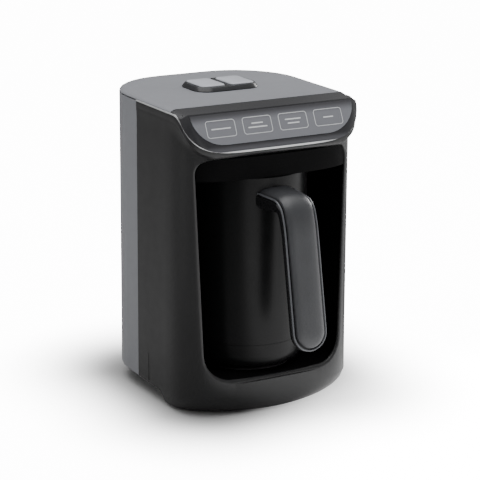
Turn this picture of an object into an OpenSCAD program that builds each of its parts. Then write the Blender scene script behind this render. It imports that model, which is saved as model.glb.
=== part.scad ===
// Electric Turkish coffee maker: a D-shaped tower with a slanted control head, an open niche with a
// heater plate, and a tall lift-out pot with a strap handle.
// +Z is up, the niche faces -Y, and the origin is on the table under the middle of the whole object.

/* [Body] */
// Height of the flat deck above the table
body_h = 250; // [235:1:265]
// Width across the two side walls
body_w = 161; // [150:1:175]
// Distance from the origin to the front skirt
front_reach = 59.2; // [54:0.1:64]
// Distance from the origin to the back wall
rear_reach = 110.8; // [104:0.1:120]
// Radius of the two back corners in plan
rear_corner_r = 58; // [45:1:65]
// Depth of the curved front, measured from where the side walls end
front_depth = 45; // [42:0.5:48]
// Squareness of the front corners, 2 is an ellipse and 5 is nearly square
front_square = 3.1; // [2.6:0.1:3.6]
// Wall thickness of the moulded casings
wall = 2.6; // [2:0.1:3]
// Place of the upright joint between the front housing and the rear cover
seam_y = 33.8; // [28:0.1:42]
// Height of the side edges above the table
side_lift = 12; // [9:0.5:15]
// Height of the front skirt above the table
skirt_lift = 1.8; // [1.2:0.1:2.6]
// Height over which the foot of the front corners tucks in
tuck_h = 16; // [10:1:20]
// How far the foot of the side walls tucks in
tuck_in = 3.5; // [2:0.5:5]
// Squareness of the front corners at the foot of the skirt
foot_square = 1.8; // [1.7:0.1:2.4]
// How far the front leans back from foot to head
body_lean = 3; // [1:0.5:4]

/* [Head] */
// Height of the deck and visor above the joint with the casings
head_cap_h = 3.5; // [2.5:0.1:5]
// How far the head stands out beyond each side wall
head_over = 0.5; // [0:0.1:3]
// Squareness of the corners of the head
head_square = 5.2; // [4:0.1:6]
// How far the lip of the head stays behind the skirt
lip_back = 2.5; // [2:0.25:4]
// Height of the lip line below the deck
lip_drop = 32; // [28:0.5:36]
// Place of the front edge of the flat deck
deck_front_y = -24.2; // [-27:0.1:-20]
// Place of the crease between the top strip and the panel face
crease_y = -43.2; // [-46:0.1:-40]
// Drop from the deck to the crease
crease_drop = 1.5; // [1:0.1:3]
// Height of the panel face, measured straight down
face_h = 25; // [20:0.5:28]
// Lean of the panel face from upright, in degrees
face_lean = 25.6; // [20:0.2:30]
// Height of the rim band under the trim bead
rim_h = 5; // [4:0.2:6]
// Height of the hollow neck that runs from the rim band down into the walls
neck_h = 11; // [8:0.5:15]
// Thickness of the trim bead
bead_t = 0.9; // [0.7:0.1:1.5]
// Width of the rounded shoulder round the deck
shoulder_w = 5.5; // [4:0.25:7]
// Thickness of the visor and deck skins
skin_t = 2.2; // [1.8:0.1:2.8]

/* [Niche] */
// Width of the front beside the opening, at its top
jamb_top = 12; // [11:0.5:16]
// Width of the front beside the opening, at its foot
jamb_foot = 17.5; // [15:0.5:22]
// Height of the niche sill above the table
sill_z = 30.5; // [27:0.5:34]
// Corner radius at the foot of the opening
mouth_foot_r = 22; // [14:1:28]
// Corner radius at the top of the opening
mouth_top_r = 12; // [8:1:18]
// Radius that rounds the edge of the opening
mouth_edge_r = 3; // [2:0.25:4]
// Space between the pot and the back wall of the niche
niche_clear = 5; // [4:0.5:8]
// How much wider each side of the niche is inside than at its opening
niche_relief = 1; // [0.6:0.1:2]
// Height of the black header that hides the rim of the pot
header_h = 18; // [14:0.5:20]
// How far the header stays behind the front of the housing
header_set = 1.2; // [0.6:0.1:2]
// Wall thickness of the niche liner
liner_t = 2; // [1.6:0.1:2.4]

/* [Pot] */
// Outer radius of the pot
pot_r = 50; // [46:0.5:52]
// Place of the pot axis
pot_y = -3.2; // [-4:0.1:0]
// Gap between the pot and the header above it
pot_top_gap = 1.2; // [0.8:0.1:3]
// Wall thickness of the outer pot
pot_wall = 2.2; // [1.8:0.1:3]
// Thickness of the steel cup inside the pot
cup_t = 0.7; // [0.5:0.1:1.2]
// Height of the foot ring below the seam of the pot
foot_ring_h = 22.8; // [18:0.2:28]
// Radius that rounds the foot of the pot
foot_round = 13; // [8:0.5:15]
// How far each pouring lip stands out
spout_out = 3.2; // [2:0.2:4.5]

/* [Handle] */
// Width of the strap
grip_w = 31; // [28:0.5:36]
// Thickness of the strap
grip_t = 8; // [7:0.5:11]
// Extra width where the handle meets the pot
root_flare = 5; // [2:0.5:12]
// Extra thickness where the handle meets the pot
root_deep = 7.5; // [4:0.5:10]
// Drop from the pot rim to the top of the handle
handle_drop = 12.5; // [8:0.5:16]
// Reach from the pot wall to where the handle starts to bend down
root_run = 20.5; // [16:0.5:26]
// Slope of the top of the handle, in degrees
root_dip = 2; // [0:0.5:6]
// Radius of the bend at the top of the handle
hook_r = 15; // [12:0.5:20]
// Angle of the bend at the top of the handle
hook_turn = 66; // [60:1:72]
// Radius of the gentle curve below the bend
ease_r = 90; // [70:5:120]
// Lean of the strap from upright, in degrees
strap_lean = 11; // [8:0.5:14]
// Height of the lower end of the handle above the table
handle_low = 64.5; // [58:0.5:75]
// Width of the bead and groove round the soft cover
insert_edge = 2.7; // [2.5:0.1:4]
// Height of the crown of the soft cover
crown_h = 4.4; // [2:0.2:6]

/* [Heater] */
// Radius of the heater plate
plate_r = 38; // [35:0.5:40]
// Gap between the plate and the foot of the pot
plate_gap = 0.3; // [0.2:0.05:0.5]
// Radius of the ring element under the plate
element_r = 24; // [20:0.5:27]
// Tube radius of the element
element_tube_r = 3.2; // [2.8:0.1:3.6]

/* [Buttons] */
// Width of each button cap
cap_w = 22.2; // [18:0.2:23]
// Depth of each button cap, front to back
cap_d = 32; // [28:0.5:33]
// Space between the two caps
cap_gap = 5; // [3:0.2:6]
// Place of the middle of the button group
buttons_y = 41.2; // [37:0.1:44]
// Height of the bezel above the deck
bezel_h = 3.6; // [3:0.1:4.5]
// Height of the caps above the bezel
cap_proud = 1; // [0.8:0.1:1.6]
// Width of the rim of the bezel round the caps
bezel_rim = 5; // [4:0.25:7]
// Travel of each button
press = 1.5; // [1:0.1:2]
// Radius of the button stems
stem_r = 2.6; // [2.2:0.1:3]
// Running clearance of a stem in its guide
stem_clear = 0.08; // [0.05:0.01:0.1]
// Gap round each cap
cap_clear = 0.35; // [0.25:0.05:0.5]

/* [Electronics] */
// Width of the board under the buttons
board_w = 74; // [66:1:80]
// Depth of the board under the buttons
board_d = 56; // [50:1:60]
// Width of the power board
power_w = 96; // [80:1:100]
// Height of the power board
power_h = 110; // [90:1:120]
// Distance from the back of the casing to the power board
power_back = 24; // [20:0.5:30]
// Width of the transformer
transformer_w = 40; // [34:1:44]
// Height of the transformer
transformer_h = 30; // [26:1:34]
// Depth of the transformer
transformer_d = 20; // [16:1:22]
// Width of the relay
relay_w = 20; // [16:1:24]
// Height of the relay
relay_h = 16; // [12:1:20]

/* [Feet and fasteners] */
// Radius of the rubber feet
foot_r = 8; // [6:0.5:10]
// Thickness of the base plate
base_t = 2.4; // [2:0.1:3]
// Radius of the casing screws
screw_r = 1.5; // [1.25:0.05:1.75]
// Radius of the cord gland's bore
gland_bore_r = 3.6; // [3:0.1:4.2]
// Height of the cord gland above the table
gland_z = 27; // [25:1:32]

/* [Hidden] */

fit_gap = 0.2;
half_w = body_w / 2;
head_half_w = half_w + head_over;
front_y0 = front_depth - front_reach;
front_steps = 40;
rear_steps = 9;
seat_z = body_h - head_cap_h;
lip_z = body_h - lip_drop;
lip_y = lip_back - front_reach;
head_depth = front_y0 - lip_y;
seat_r = 14;

// The seat is the joint under the head: level at the back, then down to the lip on a slope.
slope_top_y = front_y0 - 25;
slope_top_z = seat_z - 3;
slope_run = slope_top_y - lip_y;
slope_fall = slope_top_z - lip_z;
slope_angle = atan2(slope_fall, slope_run);
slope_len = norm([slope_run, slope_fall]);
seat_turn_y = slope_top_y + (seat_z - slope_top_z) * slope_run / slope_fall;

mouth_top_half = half_w - jamb_top;
mouth_foot_half = half_w - jamb_foot;
mouth_top_z = lip_z - rim_h;
header_z = mouth_top_z - header_h;
pot_low_z = sill_z + 0.7;
plate_top_z = pot_low_z - plate_gap;
pot_top_z = header_z - pot_top_gap;
seam_z = pot_low_z + foot_ring_h;
liner_floor_z = sill_z - 0.5;
liner_low_z = liner_floor_z - liner_t;
niche_half_w = mouth_top_half + niche_relief;
niche_back = pot_r + niche_clear;
cup_r = pot_r - pot_wall - fit_gap;

handle_top_z = pot_top_z - handle_drop;
screw_z = handle_top_z - (grip_t + root_deep) / 2;
screw_depth = 8.5;
pot_front_y = pot_y - pot_r;

bezel_top_z = body_h + bezel_h;
cap_top_z = bezel_top_z + cap_proud;
cap_low_z = body_h - 1;
guide_top_z = body_h - 9;
guide_low_z = body_h - 15;
stem_low_z = guide_low_z - 1;
switch_h = 3.4;
board_t = 1.6;
plunger_h = 0.8;
board_z = stem_low_z - press - 0.2 - plunger_h - switch_h - board_t;
cap_x = (cap_w + cap_gap) / 2;
bezel_w = 2 * cap_w + cap_gap + 2 * bezel_rim;
bezel_d = cap_d + 2 * bezel_rim;
board_hole_x = board_w / 2 - 5;
board_hole_y = board_d / 2 - 5;

tray_back_y = front_y0 + 12;
gland_seat_r = gland_bore_r + 2.8;
rear_foot_x = 42;
rear_foot_y = rear_reach - 33;
front_foot_x = 48;
front_foot_y = front_y0 - 12;
power_y = rear_reach - power_back;
power_low_z = side_lift + 36;
buzzer_h = 5.6;

// ---------- outlines ----------

function signed_power(v, p) = sign(v) * pow(abs(v), p);

// Plan outline of the tower, counter-clockwise from the left end of the curved front.
// half: half width, depth: depth of the front, square: squareness, inset: parallel inset.
function tower(half, depth, square, inset = 0) = let (
    a = half - inset,
    b = depth - inset,
    r = rear_corner_r - inset,
    back = rear_reach - inset
) concat(
    [for (i = [0:front_steps]) let (t = 180 - 180 * i / front_steps)
        [a * signed_power(cos(t), 2 / square), front_y0 - b * signed_power(sin(t), 2 / square)]],
    [for (i = [0:rear_steps]) let (t = 90 * i / rear_steps)
        [a - r + r * cos(t), back - r + r * sin(t)]],
    [for (i = [0:rear_steps]) let (t = 90 + 90 * i / rear_steps)
        [r - a + r * cos(t), back - r + r * sin(t)]]
);

function body_outline(inset = 0) = tower(half_w, front_depth, front_square, inset);
function head_outline(inset = 0) = tower(head_half_w, head_depth, head_square, inset);

function ring_at(outline, z) = [for (p = outline) [p[0], p[1], z]];

// Arc from angle a0 to a1 about a centre, as points.
function arc(centre, r, a0, a1, steps = 8) = [for (i = [0:steps])
    let (t = a0 + (a1 - a0) * i / steps) centre + r * [cos(t), sin(t)]];

// The seat in side view (y, z), from the back to beyond the lip, moved outward by lift.
function seat_line(lift = 0) = let (
    turn = slope_angle,
    reach = seat_r * tan(turn / 2),
    centre = [seat_turn_y + reach, seat_z - seat_r],
    last = centre + (seat_r + lift) * [cos(90 + turn), sin(90 + turn)],
    run_on = slope_len + 20
) concat(
    [[rear_reach + 20, seat_z + lift]],
    arc(centre, seat_r + lift, 90, 90 + turn),
    [last - run_on * [cos(turn), sin(turn)]]
);

// Rounded rectangle outline about the origin.
function rounded(w, d, r, steps = 6) = concat(
    arc([w / 2 - r, d / 2 - r], r, 0, 90, steps),
    arc([r - w / 2, d / 2 - r], r, 90, 180, steps),
    arc([r - w / 2, r - d / 2], r, 180, 270, steps),
    arc([w / 2 - r, r - d / 2], r, 270, 360, steps)
);

// The mouth of the niche in front view (x, z), grown outward by grow.
function mouth(grow = 0) = let (
    rise = mouth_top_z - sill_z,
    side = atan2(mouth_top_half - mouth_foot_half, rise),
    foot_r = mouth_foot_r + grow,
    top_r = mouth_top_r + grow,
    foot_c = [mouth_foot_half + grow - foot_r, sill_z - grow + foot_r],
    top_c = [mouth_top_half + grow - top_r, mouth_top_z + grow - top_r]
) concat(
    arc(foot_c, foot_r, -90, -side, 7),
    arc(top_c, top_r, -side, 90, 7),
    [for (p = arc(top_c, top_r, 90, -side, 7)) [-p[0], p[1]]],
    [for (p = arc(foot_c, foot_r, -side, -90, 7)) [-p[0], p[1]]]
);

// ---------- shared shapes ----------

// Closed solid through a list of rings of equal length, counter-clockwise seen from the last ring.
// Where folded is true, a ring goes out along one side of a wall and back along the other, and each
// end is closed by a strip between the two sides.
module skin(rings, folded = false) {
    n = len(rings[0]);
    last = len(rings) - 1;
    end = folded ? [for (i = [0:n / 2 - 2]) [i, i + 1, n - 2 - i, n - 1 - i]]
        : [[for (i = [0:n - 1]) i]];
    polyhedron(
        points = [for (r = rings) each r],
        faces = concat(
            end,
            [for (k = [0:last - 1], i = [0:n - 1]) let (j = (i + 1) % n, a = k * n, b = a + n)
                each [[a + i, b + i, b + j], [a + i, b + j, a + j]]],
            [for (f = end) [for (k = [len(f) - 1:-1:0]) last * n + f[k]]]
        ),
        convexity = 8
    );
}

// A side-view polygon (y, z) drawn across the width.
module across(points, w) {
    translate([-w / 2, 0, 0]) rotate([90, 0, 90]) linear_extrude(w) polygon(points);
}

// A front-view polygon (x, z) drawn from y0 to y1.
module through(points, y0, y1) {
    translate([0, y1, 0]) rotate([90, 0, 0]) linear_extrude(y1 - y0) polygon(points);
}

module prism(outline, z0, z1) {
    translate([0, 0, z0]) linear_extrude(z1 - z0) polygon(outline);
}

// Everything below the seat, moved outward by lift.
module below_seat(lift = 0) {
    line = seat_line(lift);
    across(concat(line, [[-200, -50], [rear_reach + 20, -50]]), body_w + 60);
}

function four(x, y, z) = [for (sx = [-1, 1], sy = [-1, 1]) [sx * x, sy * y, z]];

// ---------- casings ----------

// Height of the seat above the table at a place along Y.
seat_arc = [seat_turn_y + seat_r * tan(slope_angle / 2), seat_z - seat_r];

function seat_at(y) =
    y >= seat_arc[0] ? seat_z
    : y >= seat_arc[0] - seat_r * sin(slope_angle)
        ? seat_arc[1] + sqrt(pow(seat_r, 2) - pow(y - seat_arc[0], 2))
    : lip_z + (y - lip_y) * tan(slope_angle);

// Stations run round the front from the left end of the joint to the right end: three on each
// straight side, where the skirt steps up, and the rest on the curved front.
step_foot_y = tray_back_y - 0.55 * side_lift;
side_y = [seam_y, tray_back_y, step_foot_y];
stations = front_steps + 2 * len(side_y);

function station(i, half, depth, square, inset) = let (
    n = len(side_y),
    t = 180 - 180 * (i - n) / front_steps
)
    i < n ? [inset - half, side_y[i]]
    : i > stations - n ? [half - inset, side_y[stations - i]]
    : [(half - inset) * signed_power(cos(t), 2 / square),
        front_y0 - (depth - inset) * signed_power(sin(t), 2 / square)];

// Share of the tuck that the raised side edge takes away, from its place along Y.
function raised_share(i) = min(i, stations - i) < 2 ? (side_lift - skirt_lift) / tuck_h : 0;

// The foot tucks in most at its corners; share is 0 at the bottom edge and 1 where the tuck ends.
function foot_point(i, share, inset) = let (
    rise = raised_share(i) + (1 - raised_share(i)) * share,
    tuck = pow(1 - rise, 1.5),
    p = station(i, half_w - tuck_in * tuck, front_depth - tuck,
        front_square - (front_square - foot_square) * tuck, inset)
) [p[0], p[1], skirt_lift + rise * tuck_h];

// Outline of the foot of the front at a height above the table.
function foot_outline(z, inset) = let (tuck = pow(1 - (z - skirt_lift) / tuck_h, 1.5))
    tower(half_w - tuck_in * tuck, front_depth - tuck,
        front_square - (front_square - foot_square) * tuck, inset);

function depth_at(z) = front_depth - body_lean * max(0, z - tuck_h) / (body_h - tuck_h);

function wall_point(i, z, inset) =
    let (p = station(i, half_w, depth_at(z), front_square, inset)) [p[0], p[1], z];

// Share of the way from the wall out to the rim of the head, by distance below the seat.
function flare(drop) =
    drop <= rim_h ? 1 : drop >= rim_h + neck_h ? 0 : pow(1 - (drop - rim_h) / neck_h, 2);

function neck_point(i, drop, inset) = let (
    rim = station(i, head_half_w, head_depth, head_square, inset),
    z = seat_at(rim[1]) - drop,
    low = wall_point(i, z, inset),
    p = low + flare(drop) * ([rim[0], rim[1], z] - low)
) p;

// One side of the shell at a station, from the foot up to the seat; soft rounds off its edges.
function housing_side(i, inset, soft) = concat(
    [foot_point(i, 0, inset + 0.9 * soft), foot_point(i, 0.05, inset + 0.15 * soft)],
    [for (u = [0.25, 0.55, 1]) foot_point(i, u, inset)],
    [wall_point(i, body_h / 2, inset)],
    [for (u = [1, 0.7, 0.45, 0.25, 0.1]) neck_point(i, rim_h + u * neck_h, inset)],
    [neck_point(i, rim_h, inset + 0.2 * soft), neck_point(i, rim_h - 0.6, inset)],
    [neck_point(i, 0.5, inset), neck_point(i, 0, inset + 0.35 * soft)]
);

// Cross-section of the shell at a station: up the outside and down the inside.
function housing_section(i) = let (inside = housing_side(i, wall, 0))
    concat(housing_side(i, 0, 1), [for (k = [len(inside) - 1:-1:0]) inside[k]]);

// Front of the housing at a place (x, z) inside the mouth's region.
function front_at(x, z) = let (
    low = front_y0 - depth_at(z) * pow(1 - pow(abs(x) / half_w, front_square), 1 / front_square),
    rim = front_y0 - head_depth * pow(1 - pow(abs(x) / head_half_w, head_square), 1 / head_square)
) low + flare(seat_at(rim) - z) * (rim - low);

// Cutter for the mouth of the niche, with its edge rounded into the front. The round runs on
// straight past the surface, so that it cuts the surface cleanly.
module mouth_cut() {
    last = 12;
    round_to = function (a) mouth_edge_r * [1 - sin(a), 1 - cos(a)];
    turn = concat(
        [for (a = [90:-13:last]) round_to(a)],
        [round_to(last) + mouth_edge_r * 0.4 * [cos(last), -sin(last)]]
    );
    skin(concat(
        [[for (p = mouth()) [p[0], pot_y, p[1]]]],
        [for (e = turn) [for (p = mouth(e[0])) [p[0], front_at(p[0], p[1]) + e[1], p[1]]]],
        [[for (p = mouth(turn[len(turn) - 1][0])) [p[0], -front_reach - 20, p[1]]]]
    ));
}

module front_housing() {
    color([0.13, 0.13, 0.14]) {
        difference() {
            skin([for (i = [stations:-1:0]) housing_section(i)], folded = true);
            mouth_cut();
        }
        housing_bosses();
    }
}

boss_r = 3.6;
boss_x = half_w - wall - boss_r;
boss_y = front_y0 + 30;
boss_low_z = side_lift + base_t + fit_gap;

// Screw bosses and the tongue that locates the rear cover.
module housing_bosses() {
    for (s = [0, 1]) mirror([s, 0, 0]) {
        difference() {
            union() {
                translate([boss_x, boss_y, boss_low_z]) cylinder(r = boss_r, h = 24, $fn = 32);
                translate([half_w - wall / 2 - 0.6, boss_y, boss_low_z + 12])
                    cube([wall + 1.6, 2, 24], center = true);
            }
            translate([boss_x, boss_y, side_lift]) cylinder(r = screw_r, h = 22, $fn = 24);
        }
        for (i = [0:tongue_n - 1])
            translate([0, seam_y, side_lift + (i + 0.5) * (seat_z - side_lift) / tongue_n]) tongue();
    }
}

tongue_n = 4;
tongue_h = 16;
tongue_t = 2.2;
tongue_lap = 4;

// A tongue joined to the wall of the front housing, which laps inside the rear cover.
module tongue() {
    lap_x = half_w - wall - fit_gap;
    translate([lap_x - tongue_t, -2 * tongue_lap, -tongue_h / 2])
        cube([tongue_t, 3 * tongue_lap, tongue_h]);
    translate([lap_x - tongue_t, -2 * tongue_lap, -tongue_h / 2])
        cube([tongue_t + fit_gap + wall / 2, 2 * tongue_lap - 0.6, tongue_h]);
}

vent_n = 9;
vent_pitch = 7;
vent_w = 3;
vent_h = 34;
vent_z = gland_z + gland_seat_r + 14;
rear_boss_x = 50;
rear_boss_y = rear_reach - 22;
bracket_x = min(power_w / 2 - 6, half_w - rear_corner_r + 22);
bracket_z = [power_low_z + 12, power_low_z + power_h - 12];

module rear_cover() {
    color([0.62, 0.63, 0.64]) {
        difference() {
            skin([
                ring_at(body_outline(1.6), side_lift),
                ring_at(body_outline(0.5), side_lift + 0.8),
                ring_at(body_outline(), side_lift + 2.4),
                ring_at(body_outline(), seat_z)
            ]);
            prism(body_outline(wall), side_lift - 5, body_h + 10);
            translate([-body_w, -body_w, 0]) cube([2 * body_w, body_w + seam_y + 0.1, 2 * body_h]);
            // Upright vent slots low on the back wall
            for (i = [0:vent_n - 1])
                translate([(i - (vent_n - 1) / 2) * vent_pitch, rear_reach, vent_z + vent_h / 2])
                    upright_slot(vent_w, vent_h);
            translate([0, rear_reach + 5, gland_z]) rotate([90, 0, 0])
                cylinder(r = gland_seat_r, h = 20, $fn = 48);
        }
        rear_posts();
    }
}

module upright_slot(w, h) {
    rotate([90, 0, 0]) linear_extrude(4 * wall, center = true) polygon(rounded(w, h, w / 2 - 0.01, 4));
}

module rear_posts() {
    for (s = [0, 1]) mirror([s, 0, 0]) {
        difference() {
            union() {
                translate([rear_boss_x, rear_boss_y, boss_low_z]) cylinder(r = boss_r, h = 30, $fn = 32);
                translate([rear_boss_x - 1, rear_boss_y, boss_low_z])
                    cube([2, rear_wall_at(rear_boss_x) - rear_boss_y - wall / 2, 24]);
            }
            translate([rear_boss_x, rear_boss_y, side_lift]) cylinder(r = screw_r, h = 22, $fn = 24);
        }
        // Posts that carry the brackets of the power board
        for (z = bracket_z)
            translate([bracket_x, power_post_y, z]) rotate([-90, 0, 0])
                difference() {
                    cylinder(r = boss_r, h = rear_wall_at(bracket_x) - power_post_y - wall / 2, $fn = 32);
                    translate([0, 0, -1]) cylinder(r = screw_r, h = 10, $fn = 24);
                }
    }
}

// Outside of the back wall at a distance from the middle.
function rear_wall_at(x) = let (flat = half_w - rear_corner_r)
    x <= flat ? rear_reach
        : rear_reach - rear_corner_r + sqrt(pow(rear_corner_r, 2) - pow(x - flat, 2));

// ---------- head ----------

module deck_block(inset, z0, z1) {
    h = z1 - z0;
    skin([
        ring_at(body_outline(0.3 + inset), z0),
        ring_at(body_outline(0.3 + inset), z0 + h * 0.15),
        ring_at(body_outline(0.3 + inset + shoulder_w * 0.12), z0 + h * 0.5),
        ring_at(body_outline(0.3 + inset + shoulder_w * 0.4), z0 + h * 0.82),
        ring_at(body_outline(0.3 + inset + shoulder_w * 0.7), z0 + h * 0.96),
        ring_at(body_outline(0.3 + inset + shoulder_w), z1)
    ]);
}

module top_cover() {
    low = seat_z + bead_t + 0.1;
    color([0.64, 0.65, 0.66]) {
        difference() {
            union() {
                deck_block(0, low, body_h);
                difference() {
                    prism(body_outline(wall + 0.6), low - 6, low + 0.5);
                    prism(body_outline(wall + 2.2), low - 7, low + 1);
                }
            }
            translate([0, 0, -skin_t]) intersection() {
                deck_block(wall + 2.2, low - 3, body_h);
                prism(body_outline(wall + 2.2), 0, body_h);
            }
            translate([-body_w, -200, 0]) cube([2 * body_w, 200 + deck_front_y, 2 * body_h]);
            prism_at(rounded(bezel_w - 3, bezel_d - 3, 9), buttons_y, body_h - 20, body_h + 5);
        }
        // Posts that carry the control board
        for (p = four(board_hole_x, board_hole_y, 0))
            translate([p[0], p[1] + buttons_y, board_z + board_t])
                difference() {
                    cylinder(r = 3, h = body_h - skin_t + 0.2 - board_z - board_t, $fn = 32);
                    translate([0, 0, -1]) cylinder(r = screw_r, h = 9, $fn = 24);
                }
    }
}

module prism_at(outline, y, z0, z1) {
    translate([0, y, 0]) prism(outline, z0, z1);
}

// Half outline of the face or of the lip plane: straight foot, quarter-ellipse ends, (x, s).
function shield(foot_half, end_half, rise, steps = 10) = concat(
    [for (i = [0:steps]) let (t = 90 * i / steps)
        [foot_half + (end_half - foot_half) * sin(t), rise * (1 - cos(t))]],
    [for (i = [0:steps]) let (t = 90 - 90 * i / steps)
        [-foot_half - (end_half - foot_half) * sin(t), rise * (1 - cos(t))]]
);

// A thin plate whose foot line is at (y, z) and which leans back by lean degrees.
module leaning_plate(y, z, lean, points, t) {
    translate([0, y, z]) rotate([90 - lean, 0, 0]) linear_extrude(t) polygon(points);
}

face_top_half = head_half_w - shoulder_w - 0.6;
face_foot_half = face_top_half - 27;
lip_foot_half = head_half_w - 31;
crease_z = body_h - crease_drop;
face_foot_y = crease_y - face_h * tan(face_lean);
face_foot_z = crease_z - face_h;
face_len = face_h / cos(face_lean);
slope_lean = 90 - slope_angle;

// Front of the face plane at a height, also below its foot.
function face_y(z) = face_foot_y - (face_foot_z - z) * tan(face_lean);

// The visor as a convex pillow: lip plane, roll, face, top strip and the edge under the deck.
module visor_block(inset = 0) {
    roll_z = lip_z + 3.2;
    hull() {
        leaning_plate(lip_y + inset, lip_z + bead_t * 1.25 + inset * 0.5, slope_lean,
            shield(lip_foot_half - inset, head_half_w - 0.7 - inset, slope_len - 1), 0.4);
        leaning_plate(face_y(roll_z) + 0.45 + inset, roll_z + inset, slope_lean - 3,
            shield(lip_foot_half - 1 - inset, head_half_w - 0.8 - inset, slope_len - 2.5), 0.4);
        leaning_plate(face_foot_y + inset, face_foot_z + inset * 0.6, face_lean,
            shield(face_foot_half - inset, face_top_half - inset, face_len - inset * 1.4), 0.02);
        translate([-face_top_half + inset, deck_front_y, body_h - 0.3 - inset])
            cube([2 * (face_top_half - inset), 0.1, 0.3]);
        translate([-half_w + 0.9 + inset, deck_front_y, seat_z + bead_t + 0.1])
            cube([2 * (half_w - 0.9 - inset), 0.1, 0.8]);
    }
}

module visor() {
    color([0.2, 0.2, 0.21])
        difference() {
            visor_block();
            below_seat(bead_t + 0.1);
            difference() {
                visor_block(skin_t);
                below_seat(bead_t + skin_t);
            }
            translate([-body_w, deck_front_y - 0.15, 0]) cube([2 * body_w, 10, body_h + 5]);
        }
}

module panel_overlay() {
    inset = 1.2;
    color([0.42, 0.43, 0.44])
        leaning_plate(face_foot_y - 0.04, face_foot_z + 0.04, face_lean,
            [for (p = shield(face_foot_half - inset, face_top_half - inset, face_len - 2 * inset))
                p + [0, inset]], 0.35);
}

module trim_bead() {
    color([0.55, 0.56, 0.57])
        difference() {
            intersection() {
                prism(head_outline(-0.25), lip_z - 6, body_h);
                difference() {
                    below_seat(bead_t);
                    below_seat(0.05);
                }
            }
            prism(head_outline(wall), lip_z - 10, body_h + 5);
            translate([-body_w, seam_y, 0]) cube([2 * body_w, 200, 2 * body_h]);
        }
}

// ---------- niche ----------

function niche_plan(grow = 0) = let (a = niche_half_w + grow, b = niche_back + grow) concat(
    [[a, -front_reach - 5]],
    [for (i = [0:24]) let (t = 180 * i / 24)
        [a * signed_power(cos(t), 2 / 2.6), pot_y + b * signed_power(sin(t), 2 / 2.6)]],
    [[-a, -front_reach - 5]]
);

// Plan outline of the header's face, a little behind the front of the housing.
function header_outline(inset = 0) =
    tower(half_w, front_depth - body_lean * 0.8, front_square, header_set + inset);

// The U-shaped wall of the niche.
module niche_liner() {
    color([0.05, 0.05, 0.055])
        difference() {
            intersection() {
                prism(niche_plan(liner_t), liner_low_z, mouth_top_z + 0.5);
                inside_front();
            }
            prism(niche_plan(), liner_low_z - 1, body_h);
        }
}

// The space inside the front housing's walls.
module inside_front() {
    skin([for (z = [tuck_h, body_h])
        ring_at(tower(half_w, depth_at(z), front_square, wall + fit_gap), z)]);
}

module niche_floor() {
    color([0.05, 0.05, 0.055])
        difference() {
            intersection() {
                prism(niche_plan(-0.1), liner_low_z, liner_floor_z);
                inside_front();
            }
            translate([0, pot_y, liner_low_z - 1]) cylinder(r = plate_r + 1.6, h = 10, $fn = 96);
        }
}

// The ceiling of the niche, with the header that hides the rim of the pot.
module niche_header() {
    color([0.05, 0.05, 0.055])
        difference() {
            union() {
                // Tray that rises behind the lip of the housing
                intersection() {
                    prism(niche_plan(-0.1), header_z, mouth_top_z + 4);
                    inside_front();
                }
                // Face in the top of the mouth
                intersection() {
                    prism(header_outline(), header_z, mouth_top_z);
                    through(mouth(-fit_gap), -front_reach - 5, pot_y - pot_r / 2);
                }
            }
            // Head space above the ceiling
            intersection() {
                prism(niche_plan(-liner_t), header_z + liner_t, body_h);
                prism(header_outline(3 * liner_t), header_z, body_h);
            }
            // Window of the foam sensor
            translate([0, pot_y, header_z - 1]) cylinder(r = sensor_r + 0.1, h = 10, $fn = 48);
            // Steam slots in the ceiling
            for (s = [-1, 1], i = [0:3])
                translate([s * (26 + 5 * i), pot_y, header_z]) linear_extrude(10, center = true)
                    polygon(rounded(2.2, 26, 1.05, 4));
        }
}

sensor_r = 6;

module foam_sensor() {
    color([0.25, 0.03, 0.04])
        translate([0, pot_y, header_z]) {
            translate([0, 0, 0.2]) cylinder(r = sensor_r, h = liner_t + 3, $fn = 48);
            translate([0, 0, liner_t + 0.1]) cylinder(r = sensor_r + 2.5, h = 1.2, $fn = 48);
        }
}

module sensor_board() {
    color([0.08, 0.3, 0.16])
        translate([0, pot_y, header_z + liner_t + 3.3]) {
            linear_extrude(board_t) polygon(rounded(34, 24, 3));
            for (x = [-10, 10]) translate([x, 0, board_t]) cylinder(r = 2, h = 5, $fn = 24);
        }
}

// ---------- heater ----------

module heater_plate() {
    color([0.07, 0.07, 0.075])
        translate([0, pot_y, 0]) rotate_extrude($fn = 96) polygon(concat(
            [[0, plate_top_z - 2.6], [plate_r - 2, plate_top_z - 2.6], [plate_r, plate_top_z - 3.4]],
            arc([plate_r - 0.8, plate_top_z - 0.8], 0.8, 0, 90, 4),
            [[plate_r - 4, plate_top_z], [plate_r - 5, plate_top_z - 0.5], [0, plate_top_z - 0.5]]
        ));
}

module plate_seal() {
    color([0.3, 0.3, 0.31])
        translate([0, pot_y, 0]) rotate_extrude($fn = 96) polygon([
            [plate_r + 0.1, liner_low_z - 2.4],
            [plate_r + 4, liner_low_z - 2.4],
            [plate_r + 4, liner_low_z - 0.1],
            [plate_r + 1.5, liner_low_z - 0.1],
            [plate_r + 1.5, liner_floor_z + 0.3],
            [plate_r + 0.1, liner_floor_z + 0.3]
        ]);
}

element_top_z = plate_top_z - 2.7;

// Ring element whose two terminals pass down through the heat shield.
module heating_element() {
    color([0.5, 0.5, 0.52])
        translate([0, pot_y, element_top_z - element_tube_r]) {
            rotate([0, 0, 110]) rotate_extrude(angle = 320, $fn = 72)
                translate([element_r, 0]) circle(r = element_tube_r, $fn = 24);
            for (a = terminal_angles)
                rotate([0, 0, a]) translate([element_r, 0, 0]) {
                    sphere(r = element_tube_r, $fn = 24);
                    translate([0, 0, -terminal_h]) cylinder(r = terminal_r, h = terminal_h, $fn = 24);
                }
        }
}

terminal_angles = [110, 70];
terminal_r = 1.6;
terminal_h = 10;

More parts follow.
